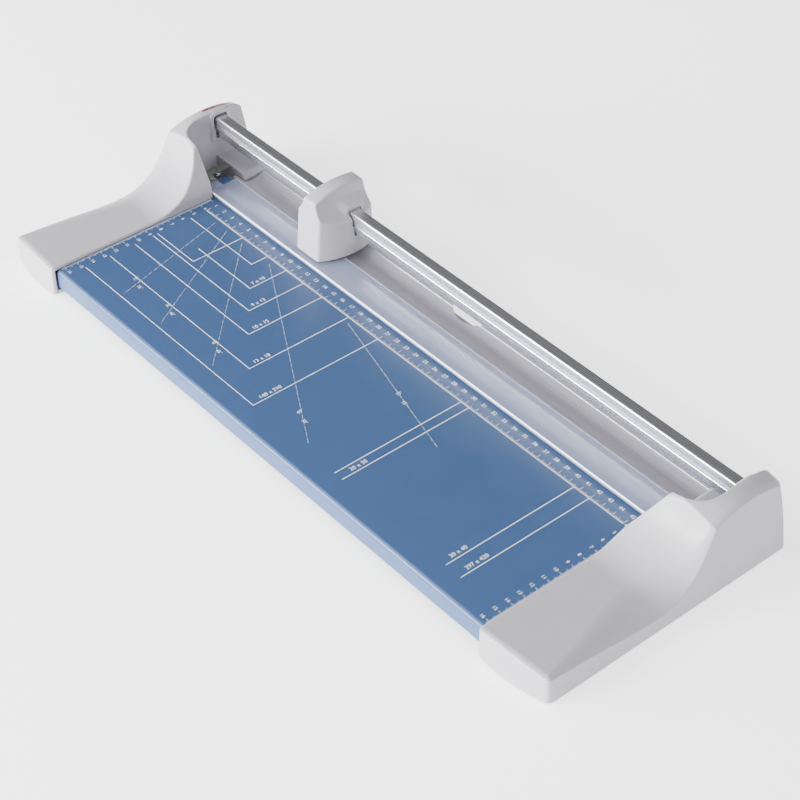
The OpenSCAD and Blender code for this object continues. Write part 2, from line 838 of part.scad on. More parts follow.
module wheel_axle() {
    color(zinc) at_head() difference() {
        union() {
            bar_y(0, wheel_y - 1.7, wheel_y - 0.1, axle_z, 9);
            bar_y(0, wheel_y - 0.2, carrier_back - 0.6, axle_z, axle_d - 0.02);
        }
        bar_y(0, wheel_y - 2, wheel_y - 0.9, axle_z, 3.4, $fn = 6);
    }
}

module axle_nut() {
    color(zinc) at_head() difference() {
        bar_y(0, carrier_back - 3.8, carrier_back - 1, axle_z, 8.2, $fn = 6);
        bar_y(0, carrier_back - 5, carrier_back + 1, axle_z, axle_d);
    }
}

// Spring between the hub and the carrier, as the tube that its wire fills
module blade_spring() {
    y0 = wheel_y + wheel_t + hub_t + 0.2;
    color(steel) at_head() difference() {
        bar_y(0, y0, carrier_front + 4.1, axle_z, 8.6);
        bar_y(0, y0 - 1, carrier_front + 6, axle_z, 6.4);
    }
}

board();
rear_channel();
counter_blade();
counter_blade_screws();
left_cap();
right_cap();
left_cap_floor();
right_cap_floor();
case_screws();
feet();
guide_rail();
left_rail_saddle();
right_rail_saddle();
rail_screws();
red_inlay();
clamp_strip();
left_strip_hanger();
right_strip_hanger();
strip_rivets();
left_strip_spring();
right_strip_spring();
head_shell();
blade_carrier();
left_glide();
right_glide();
presser_shoe();
wheel_axle();
axle_nut();
blade_spring();
shell_screws();
cutting_wheel();
wheel_hub();
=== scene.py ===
"""Looks of a rotary paper trimmer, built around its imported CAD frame.

Shapes are worked out in millimetres in the CAD frame (+X along the cut, front towards -Y, +Z up)
and turned into metres when their mesh is made.
"""

import math

import bmesh
import bpy
import numpy as np
from mathutils import Matrix, Vector


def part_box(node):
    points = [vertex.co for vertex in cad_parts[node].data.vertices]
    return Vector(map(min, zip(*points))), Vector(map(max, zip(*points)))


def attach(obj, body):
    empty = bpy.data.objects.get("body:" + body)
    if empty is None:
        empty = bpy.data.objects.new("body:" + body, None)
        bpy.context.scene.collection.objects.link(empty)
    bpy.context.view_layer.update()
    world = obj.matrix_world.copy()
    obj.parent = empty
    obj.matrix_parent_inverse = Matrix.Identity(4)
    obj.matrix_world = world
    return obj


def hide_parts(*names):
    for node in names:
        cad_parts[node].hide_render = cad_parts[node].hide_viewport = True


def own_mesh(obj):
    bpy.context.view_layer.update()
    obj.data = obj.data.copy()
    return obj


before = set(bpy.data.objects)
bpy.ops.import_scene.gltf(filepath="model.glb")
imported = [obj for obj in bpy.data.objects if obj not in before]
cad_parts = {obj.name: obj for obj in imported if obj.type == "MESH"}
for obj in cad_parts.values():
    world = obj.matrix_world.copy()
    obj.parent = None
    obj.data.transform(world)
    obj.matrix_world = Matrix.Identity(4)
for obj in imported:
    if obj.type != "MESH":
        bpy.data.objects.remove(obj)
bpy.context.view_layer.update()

MM = 0.001


def low(node):
    return np.array(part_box(node)[0]) / MM


def high(node):
    return np.array(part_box(node)[1]) / MM


# ---- Places that everything else is measured from, all in mm ----

DECK = high("board")[2]                      # top of the table
CUT_Y = high("counter_blade")[1]             # the cutting edge
CAP_IN = -high("left_cap")[0]                # inner faces of the end caps
CAP_W = high("right_cap")[0] - CAP_IN
CAP_Z0 = low("left_cap")[2]
CAP_BACK = high("left_cap")[1]
CAP_FRONT = low("left_cap")[1]
PLATE_Z0 = low("left_cap_floor")[2]
RAIL_LOW, RAIL_HIGH = low("guide_rail"), high("guide_rail")
RAIL_Y = (RAIL_LOW[1] + RAIL_HIGH[1]) / 2
STRIP_LOW, STRIP_HIGH = low("clamp_strip"), high("clamp_strip")
HEAD_X = (low("head_shell")[0] + high("head_shell")[0]) / 2
HEAD_Z0 = low("head_shell")[2]
AXLE = (low("cutting_wheel") + high("cutting_wheel")) / 2


# ---- Solids as fields: negative inside, in mm ----

def rounded(a, b, r):
    """What two solids share, with the edge between them rounded to radius r."""
    return np.minimum(np.maximum(a, b), -r) + np.hypot(np.maximum(a + r, 0), np.maximum(b + r, 0))


def joined(a, b, r):
    """Two solids together, with a fillet of radius r between them."""
    return -rounded(-a, -b, r)


def without(a, b, r):
    """Solid a less solid b, with the edge rounded to radius r."""
    return rounded(a, -b, r)


def tilted(u, v, u0, v0, degrees):
    """Half plane that ends at the line through (u0, v0); its outward normal leans from u to v."""
    a = math.radians(degrees)
    return (u - u0) * math.cos(a) + (v - v0) * math.sin(a)


def slab(u, u0, u1):
    return np.maximum(u0 - u, u - u1)


def skin(name, field, low_corner, high_corner, step):
    """Mesh of the surface where field(x, y, z) is zero, found on a grid and then moved onto it."""
    start = np.array(low_corner, float)
    count = np.ceil((np.array(high_corner) - start) / step).astype(int) + 1
    axes = [start[i] + step * np.arange(count[i]) for i in range(3)]
    value = np.broadcast_to(field(*np.meshgrid(*axes, indexing="ij", sparse=True)), count)
    inside = value < 0
    cells = count - 1
    owners, points, quads = [], [], []
    for a in range(3):
        b, c = (a + 1) % 3, (a + 2) % 3
        before = [slice(0, n) for n in count]
        after = list(before)
        before[a], after[a] = slice(0, cells[a]), slice(1, count[a])
        near, far = inside[tuple(before)], inside[tuple(after)]
        edge = np.argwhere(near != far)
        edge = edge[(edge[:, b] > 0) & (edge[:, c] > 0) & (edge[:, b] < cells[b]) & (edge[:, c] < cells[c])]
        beyond = edge.copy()
        beyond[:, a] += 1
        v0, v1 = value[tuple(edge.T)], value[tuple(beyond.T)]
        crossing = edge.astype(float)
        crossing[:, a] += v0 / (v0 - v1)
        ring = []
        for db, dc in ((1, 1), (0, 1), (0, 0), (1, 0)):
            cell = edge.copy()
            cell[:, b] -= db
            cell[:, c] -= dc
            ring.append(np.ravel_multi_index(cell.T, cells))
            owners.append(ring[-1])
            points.append(crossing)
        ring = np.stack(ring, 1)
        outward = near[tuple(edge.T)]
        quads += [ring[outward], ring[~outward][:, ::-1]]
    owners, points, quads = np.concatenate(owners), np.concatenate(points), np.concatenate(quads)
    used, where = np.unique(owners, return_inverse=True)
    share = np.bincount(where)
    place = np.stack([np.bincount(where, weights=points[:, i]) / share for i in range(3)], 1)
    place = start + place * step
    for _ in range(3):
        value, slope = measured(field, place, 0.01)
        move = slope * (value / np.maximum((slope ** 2).sum(1), 0.2))[:, None]
        length = np.linalg.norm(move, axis=1, keepdims=True)
        place -= move * np.minimum(1, 0.5 * step / np.maximum(length, 1e-9))
    normals = measured(field, place, 0.08)[1]
    normals /= np.maximum(np.linalg.norm(normals, axis=1, keepdims=True), 1e-9)
    return solid(name, place, np.searchsorted(used, quads), normals)


def measured(field, place, reach):
    """Value and slope of a field at a list of points."""
    value = field(*place.T)
    slope = np.empty_like(place)
    for i in range(3):
        step = np.zeros(3)
        step[i] = reach
        slope[:, i] = (field(*(place + step).T) - field(*(place - step).T)) / (2 * reach)
    return value, slope


def solid(name, points, faces, normals=None):
    """Object from points in mm."""
    mesh = bpy.data.meshes.new(name)
    mesh.from_pydata((np.asarray(points) * MM).tolist(), [], [list(f) for f in faces])
    mesh.polygons.foreach_set("use_smooth", np.ones(len(mesh.polygons), bool))
    if normals is not None:
        mesh.normals_split_custom_set_from_vertices(np.asarray(normals).tolist())
    mesh.update()
    made = bpy.data.objects.new(name, mesh)
    bpy.context.scene.collection.objects.link(made)
    return made


def arc(cu, cv, r, a0, a1, n=12):
    turn = np.radians(np.linspace(a0, a1, n + 1))
    return np.stack([cu + r * np.cos(turn), cv + r * np.sin(turn)], 1)


EDGE_ANGLE = 32                              # edges sharper than this, in degrees, are kept as edges


def crisp(piece, degrees=EDGE_ANGLE):
    """Smooth shading that stops at edges sharper than this."""
    piece.data.polygons.foreach_set("use_smooth", np.ones(len(piece.data.polygons), bool))
    piece.data.set_sharp_from_angle(angle=math.radians(degrees))
    return piece


def facing_out(piece, weld=None):
    """Turns every face outwards, after joining points nearer than weld metres."""
    bm = bmesh.new()
    bm.from_mesh(piece.data)
    if weld:
        bmesh.ops.remove_doubles(bm, verts=bm.verts, dist=weld)
    bmesh.ops.recalc_face_normals(bm, faces=bm.faces)
    bm.to_mesh(piece.data)
    bm.free()
    return piece


def bevelled(piece, width):
    """Rounds the piece's sharp edges by this many mm."""
    bm = bmesh.new()
    bm.from_mesh(piece.data)
    bmesh.ops.remove_doubles(bm, verts=bm.verts, dist=1e-6)
    bmesh.ops.dissolve_limit(bm, angle_limit=math.radians(1), verts=bm.verts, edges=bm.edges)
    sharp = [e for e in bm.edges
             if len(e.link_faces) == 2 and e.calc_face_angle() > math.radians(EDGE_ANGLE)]
    bmesh.ops.bevel(bm, geom=sharp, offset=width * MM, segments=2, profile=0.5,
                    affect="EDGES", clamp_overlap=True, harden_normals=False)
    bmesh.ops.recalc_face_normals(bm, faces=bm.faces)
    bm.to_mesh(piece.data)
    bm.free()
    return crisp(piece)


def extruded(name, outline, x0, x1):
    """Bar along X with this (y, z) outline, anticlockwise seen from +X."""
    outline = np.asarray(outline, float)
    n = len(outline)
    ends = [np.column_stack([np.full(n, x), outline]) for x in (x0, x1)]
    faces = [[i, (i + 1) % n, n + (i + 1) % n, n + i] for i in range(n)]
    faces = [f[::-1] for f in faces] + [list(range(n)), list(range(2 * n - 1, n - 1, -1))]
    return crisp(facing_out(solid(name, np.concatenate(ends), faces)))


def turned(name, middle, profile, segments=96):
    """Solid of revolution about a line along Y; profile lists (y, radius), closed on the axis or not."""
    profile = np.asarray(profile, float)
    turn = np.linspace(0, 2 * math.pi, segments, endpoint=False)
    rings = [np.column_stack([middle[0] + r * np.sin(turn), np.full(segments, y),
                              middle[2] + r * np.cos(turn)]) for y, r in profile]
    n = len(profile)
    faces = []
    for i in range(n):
        j = (i + 1) % n
        for k in range(segments):
            m = (k + 1) % segments
            faces.append([i * segments + k, i * segments + m, j * segments + m, j * segments + k])
    return crisp(facing_out(solid(name, np.concatenate(rings), faces), weld=1e-7), 28)


def stood_up(piece, x, y):
    """Turns a piece made about the Y axis upright, and moves it to x, y in mm."""
    piece.data.transform(Matrix.Rotation(math.pi / 2, 4, "X"))
    piece.data.transform(Matrix.Translation((x * MM, y * MM, 0)))
    return piece


def merged(name, pieces):
    """One piece made of several."""
    bm = bmesh.new()
    for piece in pieces:
        bm.from_mesh(piece.data)
        bpy.data.objects.remove(piece)
    mesh = bpy.data.meshes.new(name)
    bm.to_mesh(mesh)
    bm.free()
    made = bpy.data.objects.new(name, mesh)
    bpy.context.scene.collection.objects.link(made)
    return crisp(made)


def block(name, a, b, width=0.3):
    """Box from its corners in mm, with rounded edges."""
    a, b = np.array(a, float), np.array(b, float)
    corners = [[(b if i & 1 else a)[0], (b if i & 2 else a)[1], (b if i & 4 else a)[2]] for i in range(8)]
    faces = [(0, 2, 3, 1), (4, 5, 7, 6), (0, 1, 5, 4), (2, 6, 7, 3), (0, 4, 6, 2), (1, 3, 7, 5)]
    return bevelled(solid(name, corners, faces), width)


def dressed(node, width):
    """The CAD node's own shape with its edges rounded, standing for that node."""
    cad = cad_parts[node]
    piece = bpy.data.objects.new(node + "_finished", cad.data.copy())
    piece.data.materials.clear()
    bpy.context.scene.collection.objects.link(piece)
    if piece.data.has_custom_normals:
        piece.data.attributes.remove(piece.data.attributes["custom_normal"])
    return bevelled(piece, width)


# ---- Materials ----

def linear(r, g, b):
    """Colour from its screen values, which are all above 10 of 255 here."""
    return tuple(((v / 255 + 0.055) / 1.055) ** 2.4 for v in (r, g, b)) + (1.0,)


class Material:
    """A principled material that is built up detail by detail."""

    def __init__(self, name, colour, roughness, metallic=0.0):
        self.made = bpy.data.materials.new(name)
        self.made.use_nodes = True
        self.nodes, self.links = self.made.node_tree.nodes, self.made.node_tree.links
        self.shader = self.nodes["Principled BSDF"]
        self.colour, self.roughness = colour, roughness
        self.set("Base Color", colour)
        self.set("Roughness", roughness)
        self.set("Metallic", metallic)
        self.where = self.nodes.new("ShaderNodeTexCoord").outputs["Object"]
        self.bump = None

    def set(self, socket, value):
        self.shader.inputs[socket].default_value = value
        return self

    def noise(self, size, detail=3.0, stretch=(1, 1, 1), rough=0.5):
        """Noise whose grains are about this many mm across."""
        mapping = self.nodes.new("ShaderNodeMapping")
        mapping.inputs["Scale"].default_value = stretch
        self.links.new(self.where, mapping.inputs["Vector"])
        noise = self.nodes.new("ShaderNodeTexNoise")
        noise.inputs["Scale"].default_value = 1 / (size * MM)
        noise.inputs["Detail"].default_value = detail
        noise.inputs["Roughness"].default_value = rough
        self.links.new(mapping.outputs[0], noise.inputs["Vector"])
        return noise.outputs["Fac"]

    def between(self, factor, a0, a1, b0, b1):
        """factor's range a0 to a1 taken to b0 to b1."""
        span = self.nodes.new("ShaderNodeMapRange")
        for socket, value in zip(("From Min", "From Max", "To Min", "To Max"), (a0, a1, b0, b1)):
            span.inputs[socket].default_value = value
        self.links.new(factor, span.inputs["Value"])
        return span.outputs["Result"]

    def mixed(self, factor, first, second):
        mix = self.nodes.new("ShaderNodeMix")
        mix.data_type = "RGBA"
        self.links.new(factor, mix.inputs["Factor"])
        for socket, value in (("A", first), ("B", second)):
            target = [s for s in mix.inputs if s.name == socket and s.type == "RGBA"][0]
            if isinstance(value, bpy.types.NodeSocket):
                self.links.new(value, target)
            else:
                target.default_value = value
        return [s for s in mix.outputs if s.type == "RGBA"][0]

    def tint(self, factor, a0, a1, other, most=1.0):
        """Lets the colour drift towards another one where factor goes from a0 to a1."""
        now = self.shader.inputs["Base Color"]
        first = now.links[0].from_socket if now.is_linked else tuple(now.default_value)
        self.links.new(self.mixed(self.between(factor, a0, a1, 0, most), first, other), now)
        return self

    def vary(self, factor, a0, a1, low_rough, high_rough):
        self.links.new(self.between(factor, a0, a1, low_rough, high_rough), self.shader.inputs["Roughness"])
        return self

    def raised(self, factor, depth, strength=1.0):
        """Bump of this depth in mm."""
        bump = self.nodes.new("ShaderNodeBump")
        bump.inputs["Distance"].default_value = depth * MM
        bump.inputs["Strength"].default_value = strength
        self.links.new(factor, bump.inputs["Height"])
        if self.bump is not None:
            self.links.new(self.bump, bump.inputs["Normal"])
        self.bump = bump.outputs["Normal"]
        self.links.new(self.bump, self.shader.inputs["Normal"])
        return self

    def worn(self, other, most):
        """Edges rubbed towards another colour."""
        edge = self.nodes.new("ShaderNodeNewGeometry").outputs["Pointiness"]
        return self.tint(edge, 0.52, 0.60, other, most)

    def axis(self, name):
        """Object coordinate X, Y or Z, in metres."""
        parts = self.nodes.new("ShaderNodeSeparateXYZ")
        self.links.new(self.where, parts.inputs[0])
        return parts.outputs[name]


def case_plastic():
    m = Material("case_plastic", linear(156, 153, 158), 0.42)
    m.set("Specular IOR Level", 0.45)
    m.tint(m.noise(60, 2), 0.35, 0.70, linear(151, 148, 153), 0.6)
    m.tint(m.noise(0.9, 4), 0.55, 0.75, linear(144, 141, 148), 0.35)
    m.vary(m.noise(14, 4), 0.3, 0.7, 0.36, 0.50)
    m.raised(m.noise(0.55, 3, rough=0.6), 0.018)
    m.raised(m.noise(5, 2), 0.02, 0.5)
    return m.worn(linear(174, 172, 177), 0.35).made


def table_paint():
    m = Material("table_paint", linear(27, 45, 81), 0.36)
    m.set("Specular IOR Level", 0.26).set("Coat Weight", 0.04).set("Coat Roughness", 0.2)
    m.tint(m.noise(90, 2), 0.35, 0.7, linear(24, 41, 75), 0.7)
    m.tint(m.noise(0.5, 3), 0.5, 0.75, linear(41, 65, 104), 0.35)
    m.vary(m.noise(22, 5), 0.3, 0.7, 0.30, 0.44)
    m.raised(m.noise(1.4, 3), 0.012)
    return m.worn(linear(80, 108, 146), 0.4).made


def white_ink():
    m = Material("white_ink", linear(251, 252, 254), 0.5)
    m.tint(m.noise(0.35, 3), 0.5, 0.8, linear(232, 238, 246), 0.6)
    m.vary(m.noise(3, 3), 0.3, 0.7, 0.42, 0.6)
    m.raised(m.noise(0.2, 2), 0.004)
    return m.made


def channel_metal():
    m = Material("channel_metal", linear(190, 187, 196), 0.38, 0.4)
    m.tint(m.noise(1.2, 4, (0.01, 1, 1)), 0.35, 0.75, linear(160, 157, 166), 0.6)
    m.vary(m.noise(0.6, 4, (0.004, 1, 1)), 0.3, 0.7, 0.30, 0.46)
    m.raised(m.noise(0.35, 2, (0.004, 1, 1)), 0.006)
    return m.made


def ground_steel():
    m = Material("ground_steel", linear(205, 207, 212), 0.25, 1.0)
    m.tint(m.noise(0.4, 4, (0.02, 1, 1)), 0.35, 0.7, linear(183, 185, 190), 0.5)
    m.vary(m.noise(0.5, 4, (0.02, 1, 1)), 0.3, 0.7, 0.18, 0.34)
    m.raised(m.noise(0.25, 2, (0.02, 1, 1)), 0.004)
    return m.made


def zinc_plate():
    m = Material("zinc_plate", linear(176, 182, 178), 0.36, 0.9)
    m.tint(m.noise(1.6, 3), 0.4, 0.7, linear(150, 166, 148), 0.6)
    m.vary(m.noise(0.8, 4), 0.3, 0.7, 0.26, 0.48)
    m.raised(m.noise(0.4, 3), 0.008)
    return m.made


def foot_rubber():
    m = Material("foot_rubber", linear(44, 44, 47), 0.85)
    m.tint(m.noise(2.2, 4), 0.5, 0.8, linear(84, 83, 84), 0.5)
    m.vary(m.noise(1.1, 3), 0.3, 0.7, 0.75, 0.95)
    m.raised(m.noise(0.4, 3), 0.03)
    return m.made


def rail_metal():
    m = Material("rail_metal", linear(222, 222, 227), 0.26, 0.96)
    m.tint(m.noise(0.9, 4, (0.003, 1, 1)), 0.4, 0.7, linear(202, 202, 208), 0.4)
    m.vary(m.noise(0.5, 4, (0.004, 1, 1)), 0.3, 0.7, 0.24, 0.34)
    m.raised(m.noise(0.3, 2, (0.003, 1, 1)), 0.0015)
    return m.made


def saddle_plastic():
    m = Material("saddle_plastic", linear(122, 121, 126), 0.6)
    m.tint(m.noise(6, 3), 0.4, 0.7, linear(104, 103, 108), 0.6)
    m.vary(m.noise(3, 3), 0.3, 0.7, 0.5, 0.7)
    m.raised(m.noise(0.5, 3), 0.02)
    return m.made


def red_plastic():
    m = Material("red_plastic", linear(106, 30, 36), 0.32)
    m.tint(m.noise(4, 3), 0.4, 0.7, linear(94, 25, 31), 0.5)
    m.vary(m.noise(1.2, 3), 0.3, 0.7, 0.26, 0.40)
    m.raised(m.noise(0.4, 3), 0.006)
    return m.worn(linear(140, 60, 66), 0.4).made


def clear_plastic():
    m = Material("clear_plastic", linear(164, 171, 196), 0.16)
    m.set("Transmission Weight", 0.6).set("IOR", 1.49).set("Coat Weight", 0.1)
    m.tint(m.noise(40, 3), 0.35, 0.7, linear(154, 162, 189), 0.6)
    m.vary(m.noise(9, 5), 0.3, 0.75, 0.10, 0.24)
    m.raised(m.noise(0.5, 2, (0.05, 1, 1)), 0.002)
    return m.made


# Painted highlight: a near-white, almost opaque stand-in for the bright line of light on the clear strip's
# rounded edges and end faces.
def polished_edge():
    m = Material("polished_edge", linear(236, 238, 247), 0.18)
    m.set("Transmission Weight", 0.05).set("IOR", 1.49)
    m.tint(m.noise(3, 3, (0.1, 1, 1)), 0.4, 0.7, linear(222, 225, 238), 0.6)
    m.vary(m.noise(2, 3, (0.05, 1, 1)), 0.3, 0.7, 0.12, 0.28)
    m.raised(m.noise(0.3, 2, (0.05, 1, 1)), 0.003)
    return m.made


def spring_wire():
    m = Material("spring_wire", linear(190, 191, 196), 0.28, 1.0)
    m.tint(m.noise(0.8, 3), 0.4, 0.7, linear(158, 159, 166), 0.5)
    m.vary(m.noise(0.5, 3), 0.3, 0.7, 0.2, 0.4)
    m.raised(m.noise(0.2, 2), 0.004)
    return m.made


def white_acetal():
    m = Material("white_acetal", linear(228, 228, 222), 0.4)
    m.set("Subsurface Weight", 0.08)
    m.tint(m.noise(5, 3), 0.4, 0.7, linear(214, 214, 206), 0.5)
    m.vary(m.noise(2, 3), 0.3, 0.7, 0.34, 0.5)
    m.raised(m.noise(0.5, 3), 0.01)
    return m.made


def dark_plastic():
    m = Material("dark_plastic", linear(58, 58, 62), 0.5)
    m.tint(m.noise(4, 3), 0.4, 0.7, linear(72, 72, 76), 0.5)
    m.vary(m.noise(2, 4), 0.3, 0.7, 0.42, 0.62)
    m.raised(m.noise(0.5, 3), 0.02)
    return m.worn(linear(104, 104, 108), 0.5).made


def wheel_metal():
    """Brushed in rings around the axle."""
    m = Material("wheel_metal", linear(212, 214, 219), 0.22, 1.0)
    offset = m.nodes.new("ShaderNodeMapping")
    offset.inputs["Location"].default_value = (-AXLE * MM).tolist()
    m.links.new(m.where, offset.inputs["Vector"])
    rings = m.nodes.new("ShaderNodeTexWave")
    rings.wave_type = "RINGS"
    rings.rings_direction = "Y"
    rings.inputs["Scale"].default_value = 900
    rings.inputs["Distortion"].default_value = 1.5
    rings.inputs["Detail"].default_value = 3
    m.links.new(offset.outputs[0], rings.inputs["Vector"])
    m.tint(rings.outputs["Fac"], 0.2, 0.9, linear(188, 190, 197), 0.5)
    m.vary(rings.outputs["Fac"], 0.1, 0.9, 0.16, 0.30)
    m.raised(rings.outputs["Fac"], 0.003)
    return m.made


def hanger_steel():
    """Zinc with a dull greenish passivation."""
    m = Material("hanger_steel", linear(112, 118, 110), 0.5, 0.6)
    m.tint(m.noise(2.4, 3), 0.4, 0.7, linear(88, 96, 86), 0.7)
    m.vary(m.noise(0.9, 4), 0.3, 0.7, 0.4, 0.6)
    m.raised(m.noise(0.4, 3), 0.008)
    return m.made


def floor_paper():
    m = Material("floor_paper", linear(250, 250, 251), 0.8)
    m.set("Emission Color", (1.0, 1.0, 1.0, 1.0)).set("Emission Strength", 1.4)
    m.tint(m.noise(400, 2), 0.3, 0.7, linear(247, 247, 249), 0.5)
    m.raised(m.noise(2.5, 3), 0.02)
    return m.made


MATERIALS = {
    "case": case_plastic(), "paint": table_paint(), "ink": white_ink(), "channel": channel_metal(),
    "steel": ground_steel(), "zinc": zinc_plate(), "rubber": foot_rubber(), "rail": rail_metal(),
    "saddle": saddle_plastic(), "red": red_plastic(), "clear": clear_plastic(), "edge": polished_edge(),
    "wire": spring_wire(), "acetal": white_acetal(), "dark": dark_plastic(), "wheel": wheel_metal(),
    "hanger": hanger_steel(), "floor": floor_paper(),
}


def placed(piece, body, material, slot, *nodes):
    """Gives a finished piece its material and body, and hides the CAD nodes that it stands for; slot is not
    used.
    """
    piece.data.materials.clear()
    piece.data.materials.append(MATERIALS[material])
    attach(piece, body)
    if nodes:
        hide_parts(*nodes)
    return piece


# ---- End caps ----

LEDGE_TOP = DECK + 0.5
RAMP_R = 52.6
RAMP_Y0 = CUT_Y - 80
FALL = math.radians(3.7)                     # of the ledge and ramp, towards the outer side
SKEW = math.radians(5.2)                     # of the crease, backwards towards the outer side
CAP_MID = 28
CREST_R = 85
CREST_Y = CUT_Y + 4
CREST_Z = DECK + 42.5
CREST_D = CAP_W - 12.3
CREST_FALL = math.radians(16)
INNER_TOP = (DECK + 37.5, 13)                # height and distance of the inner top's start
LEAN_Z = DECK + 9.8
# each is a point that the face goes through, and its lean in degrees
FRONT_SWEEP = (-CAP_FRONT + 0.56, -6, 5.4)
BACK_LEAN = (CAP_BACK - 2.3, DECK + 13, 14.5)
SIDE_LEAN = 4
FRONT_CORNER, BACK_CORNER = 2.8, 5
POCKET_D = 40
POCKET_Y = CUT_Y - 27
POCKET_R = 18
SILL_TOP = DECK + 4
SILL_Y = CUT_Y + 5.8
SILL_D = 7.3
CHANNEL_BACK = high("rear_channel")[1]
CHANNEL_END = high("rear_channel")[0] - CAP_IN
WALL = 2.4
BEAD = 4.3
FRONT_BOW = 3.2
PLATE_TOP = PLATE_Z0 + 3
RAIL_HALF = (RAIL_HIGH[1] - RAIL_LOW[1]) / 2
RAIL_FOOT = 3.5
RIDGE_Z = RAIL_LOW[2] + 8.2
INLAY_Y = (low("red_inlay")[1], high("red_inlay")[1])
INLAY_D = (-high("red_inlay")[0] - CAP_IN, -low("red_inlay")[0] - CAP_IN)
TONGUE = high("board")[0] - CAP_IN
ROLL_BITE = 2.0                             # how far the roll stands out past the side, of its depth
ROLL_RATIO = 1 + ROLL_BITE + math.sqrt(2 * ROLL_BITE)
# distances from the cutting edge, and the roll's depth at each
ROLL_DEPTHS = ((-172, -162, -123, -89, -66, -52, -44, -36, -30, 40),
               (1.0, 1.4, 4.6, 8.4, 8.8, 8.2, 6.0, 2.6, 1.4, 1.6))


def roll_depth(y):
    """Depth of the roll along the cap's outer top edge: widest beside the ramp, run out at both ends."""
    smoothing = (-5, -2, 2, 5)
    return sum(np.interp(y - CUT_Y + shift, *ROLL_DEPTHS) for shift in smoothing) / len(smoothing)


def cap_sides(d, y, z):
    """Front, outer side and back of a cap; the front's foot bows out in its middle."""
    bow = FRONT_BOW * (1 - ((d - CAP_MID) / CAP_MID) ** 2) * np.clip((LEDGE_TOP - z) / LEDGE_TOP, 0, 1)
    front = tilted(-y, d, *FRONT_SWEEP) - bow
    outer = tilted(d, z, CAP_W, PLATE_Z0, SIDE_LEAN)
    back = rounded(y - CAP_BACK, tilted(y, z, *BACK_LEAN), 10)
    return rounded(rounded(front, outer, FRONT_CORNER), back, BACK_CORNER)


def cap_outside(d, y, z):
    """Outer form of a cap; d is the distance outwards from its inner face."""
    u = (d - CAP_MID) * math.cos(SKEW) + y * math.sin(SKEW)
    v = -(d - CAP_MID) * math.sin(SKEW) + y * math.cos(SKEW)
    w = u * math.sin(FALL) + z * math.cos(FALL)
    hollow = RAMP_R - np.hypot(v - RAMP_Y0, np.minimum(w - LEDGE_TOP - RAMP_R, 0))
    ramp = np.where(v < RAMP_Y0, w - LEDGE_TOP, hollow)
    h = (d - CREST_D) * math.sin(CREST_FALL) + (z - CREST_Z) * math.cos(CREST_FALL)
    crest = np.hypot(np.maximum(y - CREST_Y, -60), h + CREST_R) - CREST_R
    top = rounded(ramp, crest, 0.9)
    inner = rounded(-d + 0 * z, tilted(-d, z, 0, LEAN_Z, 30), 2.5)
    inner_top = tilted(z, -d, INNER_TOP[0], -INNER_TOP[1], 13)
    side = cap_sides(d, y, z)
    body = rounded(rounded(top, inner_top, 3), inner, 1.3)
    depth = roll_depth(y)
    return rounded(rounded(body, side - ROLL_BITE * depth, ROLL_RATIO * depth), side, 0.4)


def pocket(d, y):
    """Room for the head behind the ramp, seen from above."""
    return rounded(d - POCKET_D, POCKET_Y - y, POCKET_R)


def box3(d, y, z, low_corner, high_corner):
    spans = zip((d, y, z), low_corner, high_corner)
    return np.maximum.reduce(np.broadcast_arrays(*[slab(u, a, b) for u, a, b in spans]))


def hood(y, z, grow, r, bottom):
    """Rounded outline around the rail, open below."""
    sides = np.abs(y - RAIL_Y) - RAIL_HALF - grow
    return np.maximum(rounded(sides, z - RAIL_HIGH[2] - grow, r), bottom - z)


def rail_room(y, z, clear, r):
    """Hole that the rail goes through, narrower below its ridge."""
    across = np.abs(y - RAIL_Y)
    upper = rounded(across - RAIL_HALF - clear, slab(z, RIDGE_Z - 1, RAIL_HIGH[2] + clear), r)
    return np.minimum(upper, np.maximum(across - RAIL_FOOT - clear, slab(z, RAIL_LOW[2] - clear, RIDGE_Z)))


def sill_field(d, y, z):
    """Sill over the end of the rear channel."""
    inner_face = rounded(3.5 - d + 0 * z, tilted(-d, z, -SILL_D, SILL_TOP, 45), 1.0)
    sill = rounded(rounded(inner_face, SILL_Y - y, 1.0), z - SILL_TOP, 0.9)
    sill = np.maximum(sill, y - CHANNEL_BACK - 3)
    sill = np.maximum(sill, np.maximum(PLATE_TOP - z, d - POCKET_D - WALL))
    # room for the channel's end, in steps that follow its trough and ledge
    for y0, top in ((SILL_Y - 2, DECK - 1.4), (CUT_Y + 17, DECK - 0.4), (CHANNEL_BACK - 2.7, DECK + 0.3)):
        room = box3(d, y, z, (-2, y0, 0), (CHANNEL_END + 0.5, CHANNEL_BACK + 0.3, top))
        sill = np.maximum(sill, -room)
    return sill


